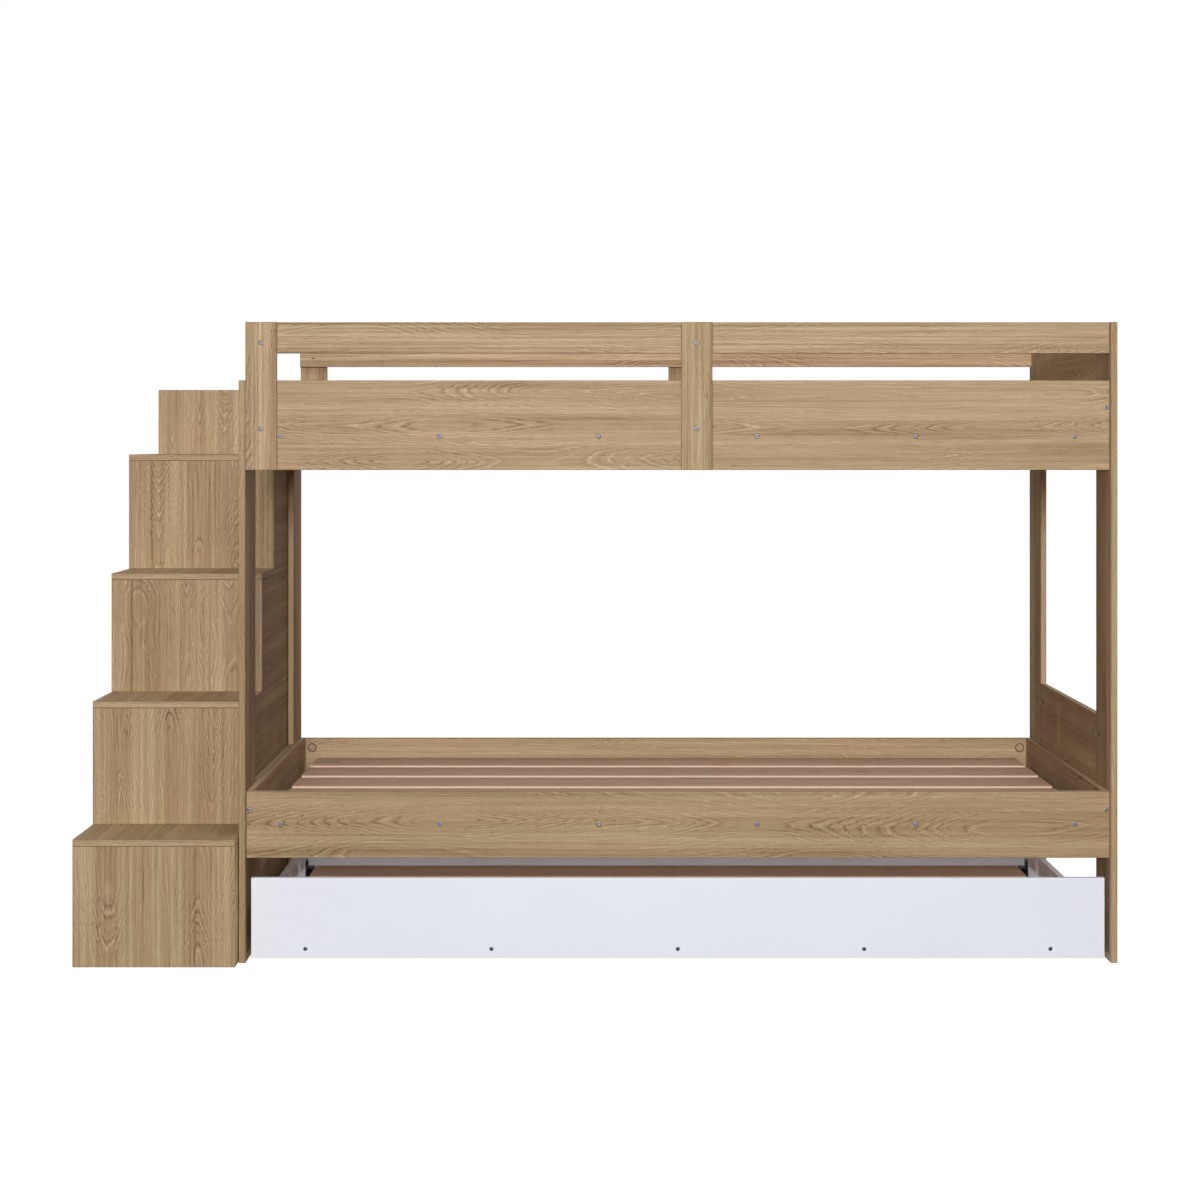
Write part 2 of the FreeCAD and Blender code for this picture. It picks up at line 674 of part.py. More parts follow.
for count, sign in enumerate(SCREW_SIDES):
    tab_hole = drilled(("0", f"0 {sign} caster_screw_pitch / 2", "tab_middle"), "+x",
                       "caster_drill", "bracket_gauge + cut_overrun")
    bracket_drills.append(rod(f"bracket_screw_drill_{count}", *tab_hole))
bracket = less("bracket", bracket_body, bracket_drills)

axle = doc.addObject("Part::Fuse", "axle")
axle.Base = rod("axle_pin", ("0", "0", "0"), "+z", "axle_diameter", "axle_length")
axle.Tool = rod("axle_crown", ("0", "0", "axle_length"), "+z", "axle_head", "axle_head_height")

bracket_spots = []
axle_spots = []
caster_screw_spots = []
for end, depth in CASTERS:
    wall = WALLS[end]
    in_turn = back_turn(wall["out_turn"])
    bracket_spots.append(((wall["face"], AXLE_Y[depth], "0"), wall["turn"]))
    axle_spots.append(((wall["face"], AXLE_Y[depth], "axle_height"), in_turn))
    for sign in SCREW_SIDES:
        point = (wall["face"], f"{AXLE_Y[depth]} {sign} caster_screw_pitch / 2", "tab_middle")
        caster_screw_spots.append((step_along(point, in_turn, "bracket_gauge"), wall["out_turn"]))
keep(together("caster_brackets", copies("bracket_at", bracket, bracket_spots)), "caster_brackets")
keep(together("caster_axles", copies("axle_at", axle, axle_spots)), "caster_axles")
keep(together("trundle_screws", copies("trundle_screw", wall_screw, trundle_screw_spots)
              + copies("caster_screw_at", caster_screw, caster_screw_spots)), "trundle_screws")


def wheel(label, point, turn):
    """A caster wheel with a rim, a hub, a recessed web on both faces and a bore."""
    disc = rod(label + "_disc", ("0", "0", "0"), "+z", "wheel_diameter", "wheel_width")
    doc.recompute()
    treads = [count for count, edge in enumerate(disc.Shape.Edges, start=1) if edge.Closed]
    tyre = eased(label + "_tyre", disc, "wheel_ease", treads)
    bore = drilled(("0", "0", "0"), "+z", "axle_hole", "wheel_width + cut_overrun")
    tools = [rod(label + "_bore", *bore)]
    for face, low in (("near", "wheel_recess - wheel_width"), ("far", "wheel_width - wheel_recess")):
        ring = less(f"{label}_{face}_recess",
                    rod(f"{label}_{face}_rim", ("0", "0", low), "+z", "wheel_rim", "wheel_width"),
                    [rod(f"{label}_{face}_hub", ("0", "0", low), "+z", "wheel_hub", "wheel_width")])
        tools.append(ring)
    piece = less(label, tyre, tools)
    put(piece, point, turn)
    keep(piece, label)


for end, depth in CASTERS:
    in_turn = back_turn(WALLS[end]["out_turn"])
    point = (WALLS[end]["face"], AXLE_Y[depth], "axle_height")
    wheel(f"wheel_{depth}_{end}", step_along(point, in_turn, "bracket_gauge + wheel_play"), in_turn)

doc.recompute()

# Every object has to be sound before anything is written.
for item in doc.Objects:
    if "Invalid" in item.State or "Error" in item.State:
        raise RuntimeError(f"{item.Label} failed: {item.State}")
for item in subparts:
    if item.Shape.isNull() or not item.Shape.isValid():
        raise RuntimeError(f"{item.Label} has no valid shape")

os.makedirs("parts", exist_ok=True)
for item in subparts:
    item.Shape.exportStep(os.path.join("parts", item.Label + ".step"))
print(len(subparts), "sub-parts written")
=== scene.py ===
"""A bunk bed in oak foil with box stairs and a white trundle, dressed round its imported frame, in metres."""
import json
import math

import bmesh
import bpy
from mathutils import Color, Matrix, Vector

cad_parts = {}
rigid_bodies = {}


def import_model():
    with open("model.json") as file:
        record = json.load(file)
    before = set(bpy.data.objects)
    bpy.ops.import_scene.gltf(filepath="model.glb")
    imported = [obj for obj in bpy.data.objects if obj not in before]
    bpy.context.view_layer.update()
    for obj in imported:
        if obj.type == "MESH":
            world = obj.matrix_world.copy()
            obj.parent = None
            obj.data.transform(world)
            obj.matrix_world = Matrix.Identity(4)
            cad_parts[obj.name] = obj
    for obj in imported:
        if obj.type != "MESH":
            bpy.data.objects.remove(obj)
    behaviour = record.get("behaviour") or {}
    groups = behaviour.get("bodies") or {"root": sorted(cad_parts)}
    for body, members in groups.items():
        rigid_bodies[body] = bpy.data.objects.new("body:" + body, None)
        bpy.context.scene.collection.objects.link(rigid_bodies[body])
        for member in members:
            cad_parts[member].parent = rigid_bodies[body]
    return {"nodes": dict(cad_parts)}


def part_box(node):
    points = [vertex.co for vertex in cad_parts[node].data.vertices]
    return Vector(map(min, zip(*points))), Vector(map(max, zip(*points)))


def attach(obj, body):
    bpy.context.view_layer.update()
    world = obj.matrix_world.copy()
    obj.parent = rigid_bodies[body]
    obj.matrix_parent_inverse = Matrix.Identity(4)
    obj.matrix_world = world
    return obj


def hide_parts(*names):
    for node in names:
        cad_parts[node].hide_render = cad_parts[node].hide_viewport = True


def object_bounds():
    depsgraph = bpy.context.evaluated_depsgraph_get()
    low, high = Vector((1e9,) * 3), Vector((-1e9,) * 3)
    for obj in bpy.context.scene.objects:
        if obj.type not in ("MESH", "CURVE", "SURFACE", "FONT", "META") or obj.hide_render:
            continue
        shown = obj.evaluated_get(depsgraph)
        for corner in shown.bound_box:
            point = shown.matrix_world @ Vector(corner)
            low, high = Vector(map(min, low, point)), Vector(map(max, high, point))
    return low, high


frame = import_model()
cad_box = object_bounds()

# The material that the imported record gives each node
SLOTS = {node: piece.material_slots[0].material.name for node, piece in frame["nodes"].items()}
MIDDLE = (cad_box[0] + cad_box[1]) / 2
AXES = (Vector((1, 0, 0)), Vector((0, 1, 0)), Vector((0, 0, 1)))
MERGE_DISTANCE = 1e-6
CREASE = math.radians(32)
# A face looks along an axis when its direction holds more than this share of it.
SQUARE_ON = 0.7

# The photograph's view: a level camera, with a shift that puts the vanishing point where the photo has it.
# The picture's size, the focal length and the vanishing point are in pixels.
PICTURE = 1200
FOCAL_PIXELS = 2447.5
VANISHING_POINT = (598.98, 442.69)
SENSOR_WIDTH = 36
CAMERA_PLACE = (0.0043, -5.996, 1.1696)

# Boards whose grain doesn't follow their longest side: the risers' foil stands upright.
UPRIGHT_GRAIN = ("riser_1", "riser_2", "riser_3", "riser_4")

# Oak foil: strips with a heart figure down the middle of each, drawn by lines a few millimetres apart.
# Long boards show narrower strips and a longer, fainter figure than the short risers. Narrow boards are
# cut from beside the heart, so their grain is straight. A thin dark line of painted shade runs along each
# board's edges, where shade falls in the joints between boards.
RISER_FIGURE = {"strip": 0.108, "step": 0.006, "stretch": 1.0, "boldness": 1.5, "streak": 0.28}
LONG_FIGURE = {"strip": 0.075, "step": 0.005, "stretch": 0.6, "boldness": 1.2, "streak": 0.2}
NARROW_BOARD = 0.1
NARROW_STREAK = 0.4
HEART_ROUND_SHARE = 0.24
HEART_CLIMB = 0.3
HEART_LEAN = 0.024
LINE_FEATHER = 0.7
COMB_REACH = 0.02
SLOPE_STEP = 0.02
EDGE_SHADE_WIDTH = 0.0014
# The foil's dark, middle and pale tones, and the same a little warmer
FOIL_TONES = ((126, 99, 68), (178, 153, 120), (217, 196, 163))
WARM_TONES = ((129, 98, 69), (180, 153, 121), (218, 194, 162))
# How much darker or paler than the rest a board's foil is: partly tone that differs at random between
# boards, and partly painted shade on boards whose faces lie in the bed's shade, such as the left front post
# and the right upper panel
FOIL_TONE_AND_SHADE = {"riser_1": 0.1, "riser_2": 0.1, "riser_3": 0.06, "riser_4": 0.04, "tread_1": 0.04,
               "left_front_post": 0.19, "right_front_post": 0.06, "right_upper_panel": 0.06,
               "upper_front_rail": 0.01, "lower_front_rail": 0.1, "front_middle_stile": 0.09,
               "front_left_stile": -0.06, "guard_front_rail": 0.01, "guard_back_rail": -0.14}
SEED_STEP = 3.17

# Slats and the small fittings
SLAT_ARRIS = 0.0022
SCREW_HEAD_HEIGHT = 0.0022
SCREW_SHANK_SHARE = 0.55
SCREW_ROOT_SHARE = 0.78
SCREW_SOCKET_SHARE = 0.37
SCREW_SOCKET_DEPTH = 0.0014
SCREW_PITCH = 0.003
SCREW_SIDES = 24
CAM_SIDES = 40
CAM_RECESS_SHARE = 0.5
CAM_RECESS_DEPTH = 0.0035
CAM_LIP = 0.0002
CAM_GROOVE_DEPTH = 0.0005
CAM_FACE_EASE = 0.0006
CAM_BACK_EASE = 0.0004
CAP_SIDES = 48
WHEEL_SIDES = 64
WHEEL_BORE_SHARE = 0.19

# The strength at which a sun shows a white face, square on to it, as full white
WHITE_SUN = math.pi
# The floor lies just below the wheels and boards, so that no face of theirs is in its plane.
FLOOR_REACH = 40.0
FLOOR_DROP = 0.0006


class Value:
    """One output of a node. Sums of values and plain numbers add their Math nodes to the tree."""

    def __init__(self, tree, socket):
        self.tree = tree
        self.socket = socket

    def output(self, name):
        return Value(self.tree, self.socket.node.outputs[name])

    def maths(self, operation, *terms):
        return self.tree.node("ShaderNodeMath", {"operation": operation}, dict(enumerate(terms)))

    def __add__(self, other):
        return self.maths("ADD", self, other)

    def __radd__(self, other):
        return self.maths("ADD", other, self)

    def __sub__(self, other):
        return self.maths("SUBTRACT", self, other)

    def __rsub__(self, other):
        return self.maths("SUBTRACT", other, self)

    def __mul__(self, other):
        return self.maths("MULTIPLY", self, other)

    def __rmul__(self, other):
        return self.maths("MULTIPLY", other, self)

    def __truediv__(self, other):
        return self.maths("DIVIDE", self, other)

    def __gt__(self, other):
        return self.maths("GREATER_THAN", self, other)

    def __abs__(self):
        return self.maths("ABSOLUTE", self)

    def root(self):
        return self.maths("SQRT", self)

    def fraction(self):
        return self.maths("FRACT", self)

    def whole(self):
        return self.maths("FLOOR", self)

    def folded(self, width):
        """Runs up to the width and back down again, over and over."""
        return self.maths("PINGPONG", self, width)

    def smooth(self, start, end):
        """0 before the start, 1 after the end, and an easy rise between them."""
        return self.tree.node("ShaderNodeMapRange", {"interpolation_type": "SMOOTHSTEP"},
                              {"Value": self, "From Min": start, "From Max": end})


class NodeTree:
    """A tree of nodes, added one call at a time."""

    def __init__(self, tree):
        self.tree = tree

    def node(self, kind, settings=None, inputs=None, output=0):
        """Adds a node: its settings come first, then the values or links of its sockets."""
        made = self.tree.nodes.new(kind)
        for name, value in (settings or {}).items():
            if name == "stops":
                set_stops(made.color_ramp, value)
            else:
                setattr(made, name, value)
        self.feed(made, inputs or {})
        return Value(self, made.outputs[output] if made.outputs else None)

    def feed(self, node, inputs):
        for name, value in inputs.items():
            if isinstance(value, Value):
                self.tree.links.new(value.socket, node.inputs[name])
            else:
                node.inputs[name].default_value = value

    def split(self, vector):
        parts = self.node("ShaderNodeSeparateXYZ", inputs={"Vector": vector})
        return [parts.output(axis) for axis in "XYZ"]


def set_stops(ramp, stops):
    """Sets a colour ramp's stops. A new ramp has two of its own."""
    for place, colour in stops[2:]:
        ramp.elements.new(place)
    for element, (place, colour) in zip(ramp.elements, stops):
        element.position = place
        element.color = colour


def paint(red, green, blue):
    """A colour as it looks on a screen, 0 to 255, in linear light."""
    seen = Color((red / 255, green / 255, blue / 255))
    return (*seen.from_srgb_to_scene_linear(), 1.0)


class Finish(NodeTree):
    """A material on Object coordinates: what varies over the surface feeds its Principled shader."""

    def __init__(self, name, **constants):
        self.material = bpy.data.materials.new(name)
        self.material.use_nodes = True
        super().__init__(self.material.node_tree)
        self.shader = self.tree.nodes["Principled BSDF"]
        self.feed(self.shader, {label.replace("_", " "): value for label, value in constants.items()})
        self.coordinates = self.node("ShaderNodeTexCoord")

    def point(self, centre=(0, 0, 0)):
        """The three Object coordinates, counted from a centre."""
        away = tuple(-value for value in centre)
        moved = self.node("ShaderNodeMapping", inputs={
            "Vector": self.coordinates.output("Object"), "Location": away})
        return self.split(moved)

    def facing(self):
        """The three parts of the surface's own direction."""
        return self.split(self.coordinates.output("Normal"))

    def reach(self):
        """How far out on a turned piece a point is: 0 on its axis and 1 on its rim."""
        return self.node("ShaderNodeAttribute", {"attribute_name": "reach"}).output("Fac")

    def noise(self, first, second, third=0.0, detail=2.0, roughness=0.5):
        place = self.node("ShaderNodeCombineXYZ", inputs={"X": first, "Y": second, "Z": third})
        return self.node("ShaderNodeTexNoise", inputs={
            "Vector": place, "Scale": 1.0, "Detail": detail, "Roughness": roughness})

    def ramp(self, factor, *stops):
        return self.node("ShaderNodeValToRGB", {"stops": stops}, {"Fac": factor})

    def mixed(self, factor, first, second):
        return self.node("ShaderNodeMix", {"data_type": "RGBA"}, {0: factor, 6: first, 7: second}, output=2)

    def relief(self, height, depth):
        """A bump whose height runs over a depth in metres."""
        return self.node("ShaderNodeBump", inputs={"Height": height, "Distance": depth, "Strength": 1.0})

    def surface(self, colour, roughness, normal=None):
        self.feed(self.shader, {"Base Color": colour, "Roughness": roughness})
        if normal:
            self.feed(self.shader, {"Normal": normal})
        return self.material


def grey(level):
    return (level, level, level, 1.0)


def deepened(colour, share):
    """A paint that gives back less light, and less of its blue than of the rest."""
    red, green, blue, alpha = colour
    return (red * (1 - share), green * (1 - share * 1.05), blue * (1 - share * 1.5), alpha)


class OakFoil(Finish):
    """Oak foil on one board: the grain runs along it, and along the straight-grained bands on its edges."""

    def __init__(self, node, number):
        super().__init__(f"oak_{node}", Specular_IOR_Level=0.2, IOR=1.32)
        low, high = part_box(node)
        self.size = high - low
        self.place = self.point((low + high) / 2)
        self.number = number
        # The board's darker or paler tone: partly its own tone, partly painted shade
        self.depth = FOIL_TONE_AND_SHADE.get(node, 0)
        upright = node in UPRIGHT_GRAIN
        self.figure = RISER_FIGURE if upright else LONG_FIGURE

        thick = min(range(3), key=lambda axis: self.size[axis])
        wide = [axis for axis in range(3) if axis != thick]
        along = 2 if upright else max(wide, key=lambda axis: self.size[axis])
        across = sum(wide) - along
        self.narrow = self.size[across] < NARROW_BOARD
        facing = self.facing()
        ends = abs(facing[along]) > SQUARE_ON
        banded = ends + (abs(facing[across]) > SQUARE_ON)
        self.flat = 1 - banded
        self.run = self.place[along] * (1 - ends) + self.place[across] * ends + number * SEED_STEP
        self.width = self.place[across] * self.flat + self.place[thick] * banded

    def grain(self, seed, along, across, detail=2.0, roughness=0.5):
        """Noise with so many waves to the metre along the grain and across it."""
        return self.noise(self.run * along, self.width * across, self.number + seed, detail, roughness)

    def heart_figure(self):
        """Pointed or rounded lines nested down the middle of each strip, feathered along the fibres.

        Gives how near the heart a point is, the dark lines, and the dark and pale lines together."""
        strip_width, stretch = self.figure["strip"], self.figure["stretch"]
        drift = self.grain(0, along=stretch, across=5, detail=1.0) - 0.5
        ripple = self.grain(0, along=8 * stretch, across=30, detail=4.0, roughness=0.6) - 0.5
        start = 0 if self.narrow else strip_width / 2
        placed = self.width + self.flat * start + drift * strip_width * 0.8 + ripple * 0.012
        strip = (placed / strip_width).whole()
        side = strip_width / 2 - placed.folded(strip_width / 2)
        heart = 1 - side.smooth(0.01, strip_width * 0.42)

        # The lines climb along the strip at their own pace, and fade where they would run level
        comb = self.grain(9.5, along=5, across=260, detail=1.0) - 0.5
        combed = self.run + comb * COMB_REACH
        rise, ahead = [self.noise(place * 1.25 * stretch, strip * 5.3, self.number)
                       for place in (combed, combed + SLOPE_STEP)]
        slope = abs(ahead - rise) / (SLOPE_STEP * stretch)
        level = (1 - slope.smooth(0.1, 0.6)) * heart

        lean = self.grain(8.5, along=4 * stretch, across=15)
        feather = self.grain(10.5, along=9, across=420, detail=1.0) - 0.5
        blunt = self.noise(self.run * 2.3, strip * 2.9, self.number + 0.5, detail=0.0).smooth(0.25, 0.75)
        blunt = blunt * strip_width * HEART_ROUND_SHARE
        reach = (side * side + blunt * blunt).root() + rise * HEART_CLIMB + lean * HEART_LEAN
        rings = reach / self.figure["step"] + feather * LINE_FEATHER
        dark_line = self.ramp(rings.fraction(),
                              (0.0, grey(0)), (0.1, grey(1)), (0.2, grey(0.5)), (0.45, grey(0)))
        pale_line = self.ramp((rings * 0.73 + 0.4).fraction(),
                              (0.0, grey(0)), (0.09, grey(1)), (0.22, grey(0)))
        clear = self.grain(1.5, along=2.6, across=21).smooth(0.3, 0.7)
        lines = pale_line * (0.8 - 0.45 * clear) - dark_line * (0.35 + 0.65 * clear)
        return heart, dark_line, lines * (1 - 0.85 * level)

    def edge_shade(self):
        """Where painted shade lies: 1 along the board's edges, where two of its faces meet, and 0 elsewhere.
        """
        near = [1 - (self.size[axis] / 2 - abs(self.place[axis])).smooth(EDGE_SHADE_WIDTH * 0.4, EDGE_SHADE_WIDTH)
                for axis in range(3)]
        return (near[0] + near[1] + near[2] - 1).smooth(0.0, 1.0)

    def toned(self, tone, tones):
        """A tone from 0 to 1 as a colour between a dark, a middle and a pale one."""
        paints = [deepened(paint(*colour), self.depth) for colour in tones]
        return self.ramp(tone, *zip((0.0, 0.5, 1.0), paints))

    def dressed(self):
        heart, dark_line, lines = self.heart_figure()
        broad = self.grain(2.5, along=0.8, across=11)
        streak = self.grain(3.5, along=1.3, across=150, detail=3.0, roughness=0.6)
        vein = self.grain(7.5, along=1.1, across=55).smooth(0.6, 0.78)
        fibre = self.grain(4.5, along=17, across=640)
        pores = self.grain(5.5, along=130, across=1500, detail=1.0).smooth(0.6, 0.72)
        warmth = self.grain(6.5, along=0.9, across=13, detail=1.0).smooth(0.35, 0.65)

        streak_share = NARROW_STREAK if self.narrow else self.figure["streak"]
        tone = (0.56 + (lines * (0.55 + 0.45 * heart) * 0.4 - heart * 0.08) * self.figure["boldness"]
                + (broad - 0.5) * 0.5 + (streak.smooth(0.3, 0.7) - 0.5) * streak_share
                + (fibre - 0.5) * 0.4 - vein * 0.2 - pores * 0.2)
        foil = self.mixed(warmth, self.toned(tone, FOIL_TONES), self.toned(tone, WARM_TONES))
        # Painted shade: the edges are darkened as if shade fell in the joints between the boards
        colour = self.mixed(self.edge_shade() * 0.55, foil, paint(92, 68, 44))
        roughness = 0.56 + pores * 0.2 + (streak - 0.5) * 0.12
        relief = self.relief(fibre * 0.4 - dark_line * 0.25 - pores, depth=0.00009)
        return self.surface(colour, roughness, relief)


def oak(node, number):
    return OakFoil(node, number).dressed()


def white_board(node, number):
    """White melamine with a fine pearl texture."""
    finish = Finish(f"white_{node}", Specular_IOR_Level=0.4)
    x, y, z = finish.point()
    pearl = finish.noise(x * 900 + number, y * 900, z * 900, detail=2.0)
    cloud = finish.noise(x * 3 + number, y * 3, z * 3, detail=2.0)
    colour = finish.ramp(cloud * 0.8 + pearl * 0.2,
                         (0.3, paint(231, 233, 242)), (0.7, paint(236, 238, 247)))
    return finish.surface(colour, roughness=0.36 + pearl * 0.14,
                          normal=finish.relief(pearl, depth=0.00002))


def planed_pine(name, along):
    """Planed softwood with its grain along X or Y: a little pink, with a few knots, and painted light that
    makes its sides paler than its top.
    """
    finish = Finish(name, Specular_IOR_Level=0.3)
    point = finish.point()
    run = point[along]
    first, second = [point[axis] for axis in range(3) if axis != along]
    sway = finish.noise(run * 1.4, first * 6, second * 6, detail=2.0) - 0.5
    rings = finish.noise(run * 0.5, first * 55 + sway * 5, second * 55, detail=2.0)
    grain = (rings * 6).fraction().smooth(0.0, 0.9)
    fibre = finish.noise(run * 22, first * 700, second * 700, detail=2.0)
    patch = finish.noise(run * 2.2, first * 17, second * 17, detail=2.0)
    knot = finish.noise(run * 7, first * 19, second * 19, detail=0.0).smooth(0.79, 0.86)
    # Painted light: the faces across the width, such as the slats' front edges, are made paler than the tops
    painted_side_light = abs(finish.facing()[1 - along]) > SQUARE_ON
    figure = (grain - 0.5) * 0.2 + (fibre - 0.5) * 0.3 + (patch - 0.5) * 0.35
    tone = 0.43 + painted_side_light * 0.46 + figure * (1 - 0.75 * painted_side_light)
    wood = finish.ramp(tone, (0.0, paint(174, 136, 107)), (0.5, paint(200, 163, 135)),
                       (1.0, paint(240, 210, 186)))
    colour = finish.mixed(knot * 0.6, wood, paint(128, 88, 60))
    return finish.surface(colour, roughness=0.62 + (fibre - 0.5) * 0.2,
                          normal=finish.relief(fibre + grain * 0.4, depth=0.00012))


def metal(name, dark, pale, roughness, scale, recess=None):
    """Plated or cast metal: cloudy, with fine scuffs, and painted shade in its recess and round its rim."""
    finish = Finish(name, Metallic=1.0)
    x, y, z = finish.point()
    cloud = finish.noise(x * scale, y * scale, z * scale, detail=3.0)
    scuff = finish.noise(x * scale * 9, y * scale * 9, z * scale * 1.5, detail=2.0)
    colour = finish.ramp(cloud, (0.3, dark), (0.7, pale))
    if recess:
        reach = finish.reach()
        # Painted shade: the socket or cross recess and a ring round the head's rim are darkened as if in
        # shadow
        painted_recess_shade = 1 - reach.smooth(recess * 0.9, recess) + reach.smooth(0.9, 0.98) * 0.7
        colour = finish.mixed(painted_recess_shade * 0.85, colour, paint(42, 41, 42))
    return finish.surface(colour, roughness=roughness + (scuff - 0.5) * 0.25,
                          normal=finish.relief(scuff, depth=0.00003))


def fine_texture(name, dark, pale, roughness):
    """Moulded plastic or powder coat, with a fine even texture."""
    finish = Finish(name, Specular_IOR_Level=0.45)
    x, y, z = finish.point()
    spark = finish.noise(x * 1800, y * 1800, z * 1800, detail=2.0)
    cloud = finish.noise(x * 40, y * 40, z * 40, detail=2.0)
    colour = finish.ramp(cloud * 0.6 + spark * 0.4, (0.3, dark), (0.7, pale))
    return finish.surface(colour, roughness=roughness + (spark - 0.5) * 0.2,
                          normal=finish.relief(spark, depth=0.00003))


def foil_cap(name):
    """Cover caps pressed from a plastic sheet with an oak print, with painted shade in their pressed ring and
    round their rim.
    """
    finish = Finish(name, Specular_IOR_Level=0.25)
    x, y, z = finish.point()
    print_line = finish.noise(x * 9, y * 9, z * 420, detail=2.0)
    fibre = finish.noise(x * 60, y * 60, z * 1500, detail=2.0)
    colour = finish.ramp(print_line * 0.7 + fibre * 0.3,
                         (0.25, paint(158, 132, 101)), (0.75, paint(192, 166, 134)))
    # Painted shade: the pressed ring and the rim are darkened as if shade lay in the groove and round the
    # edge
    rim = finish.reach().smooth(0.72, 0.82)
    colour = finish.mixed(rim * 0.85, colour, paint(84, 62, 40))
    return finish.surface(colour, roughness=0.5 + (fibre - 0.5) * 0.1,
                          normal=finish.relief(fibre, depth=0.00004))


def nodes_in(slot):
    """The CAD nodes of one material."""
    return sorted(node for node in SLOTS if SLOTS[node] == slot)


def dress(nodes, finish_of):
    """Gives CAD nodes their finish. finish_of makes a material from a node's name and its number."""
    for number, node in enumerate(nodes):
        for slot in frame["nodes"][node].material_slots:
            slot.material = finish_of(node, number)


def separate_solids(node):
    """The corner points of each separate solid that a CAD node holds."""
    work = bmesh.new()
    work.from_mesh(frame["nodes"][node].data)
    bmesh.ops.remove_doubles(work, verts=work.verts, dist=MERGE_DISTANCE)
    for vert in work.verts:
        vert.tag = False
    solids = []
    for first in work.verts:
        if first.tag:
            continue
        first.tag = True
        group = [first]
        for member in group:
            for edge in member.link_edges:
                other = edge.other_vert(member)
                if not other.tag:
                    other.tag = True
                    group.append(other)
        solids.append([vert.co.copy() for vert in group])
    work.free()
    return solids


def extent(points):
    low = Vector([min(point[axis] for point in points) for axis in range(3)])
    high = Vector([max(point[axis] for point in points) for axis in range(3)])
    return low, high


def end_of(low, high, axis, direction):
    """The middle of a box's face that looks along an axis, forwards or backwards."""
    place = (low + high) / 2
    place[axis] = high[axis] if direction > 0 else low[axis]
    return place


def geometry_tree(name, inputs):
    """An empty Geometry Nodes tree with named inputs, and the node that gives them."""
    group = bpy.data.node_groups.new(name, "GeometryNodeTree")
    group.interface.new_socket("Geometry", in_out="OUTPUT", socket_type="NodeSocketGeometry")
    group.interface.new_socket("Geometry", in_out="INPUT", socket_type="NodeSocketGeometry")
    for label, kind in inputs.items():
        group.interface.new_socket(label, in_out="INPUT", socket_type=kind)
    tree = NodeTree(group)
    return tree, tree.node("NodeGroupInput")


def end_tree(tree, instances, finish):
    """Real meshes from the instances, with their finish, to the tree's output."""
    real = tree.node("GeometryNodeRealizeInstances", inputs={"Geometry": instances})
    finished = tree.node("GeometryNodeSetMaterial", inputs={"Geometry": real, "Material": finish})
    tree.node("NodeGroupOutput", inputs={"Geometry": finished})
    return tree.tree


def slat_tree():
    """A row of slats: a planed section with eased arrises, run along X and repeated along Y."""
    tree, given = geometry_tree("slat_row", {
        "Length": "NodeSocketFloat", "Width": "NodeSocketFloat", "Thickness": "NodeSocketFloat",
        "Arris": "NodeSocketFloat", "Count": "NodeSocketInt", "Step": "NodeSocketFloat",
        "First": "NodeSocketVector", "Finish": "NodeSocketMaterial"})
    square = tree.node("GeometryNodeCurvePrimitiveQuadrilateral", {"mode": "RECTANGLE"},
                       {"Width": given.output("Width"), "Height": given.output("Thickness")})
    section = tree.node("GeometryNodeFilletCurve", {"mode": "POLY"},
                        {"Curve": square, "Count": 4, "Radius": given.output("Arris")})
    far_end = tree.node("ShaderNodeCombineXYZ", inputs={"X": given.output("Length")})
    path = tree.node("GeometryNodeCurvePrimitiveLine", inputs={"End": far_end})
    slat = tree.node("GeometryNodeCurveToMesh", inputs={
        "Curve": path, "Profile Curve": section, "Fill Caps": True})
    step = tree.node("ShaderNodeCombineXYZ", inputs={"Y": given.output("Step")})
    places = tree.node("GeometryNodeMeshLine", {"mode": "OFFSET"}, {
        "Count": given.output("Count"), "Start Location": given.output("First"), "Offset": step})
    row = tree.node("GeometryNodeInstanceOnPoints", inputs={"Points": places, "Instance": slat})
    return end_tree(tree, row, given.output("Finish"))


def fitting_tree():
    """Sets one of several fittings on each point of a mesh, turned to the point's own facing."""
    tree, given = geometry_tree("fittings_in_place", {
        "Fittings": "NodeSocketCollection", "Finish": "NodeSocketMaterial"})
    facing = tree.node("GeometryNodeInputNamedAttribute", {"data_type": "FLOAT_VECTOR"}, {"Name": "facing"})
    kind = tree.node("GeometryNodeInputNamedAttribute", {"data_type": "INT"}, {"Name": "kind"})
    turn = tree.node("FunctionNodeAlignRotationToVector", {"axis": "Z"}, {"Vector": facing})
    fittings = tree.node("GeometryNodeCollectionInfo", inputs={
        "Collection": given.output("Fittings"), "Separate Children": True, "Reset Children": True})
    row = tree.node("GeometryNodeInstanceOnPoints", inputs={
        "Points": given.output("Geometry"), "Instance": fittings, "Pick Instance": True,
        "Instance Index": kind, "Rotation": turn})
    return end_tree(tree, row, given.output("Finish"))


def grown(name, mesh, group, values):
    """What a tree grows from a mesh, as a plain mesh."""
    piece = bpy.data.objects.new(name, mesh)
    bpy.context.scene.collection.objects.link(piece)
    modifier = piece.modifiers.new(group.name, "NODES")
    modifier.node_group = group
    for socket in group.interface.items_tree:
        if socket.in_out == "INPUT" and socket.name in values:
            modifier[socket.identifier] = values[socket.name]
    plain = bpy.data.meshes.new_from_object(piece.evaluated_get(bpy.context.evaluated_depsgraph_get()))
    piece.modifiers.clear()
    plain.materials.clear()
    plain.materials.append(values["Finish"])
    piece.data = plain
    return piece


def stand_for(piece, body, slot, *nodes):
    """Puts a detailed piece in the place of CAD nodes, on their body, and hides the nodes. The slot is not
    used.
    """
    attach(piece, body)
    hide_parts(*nodes)


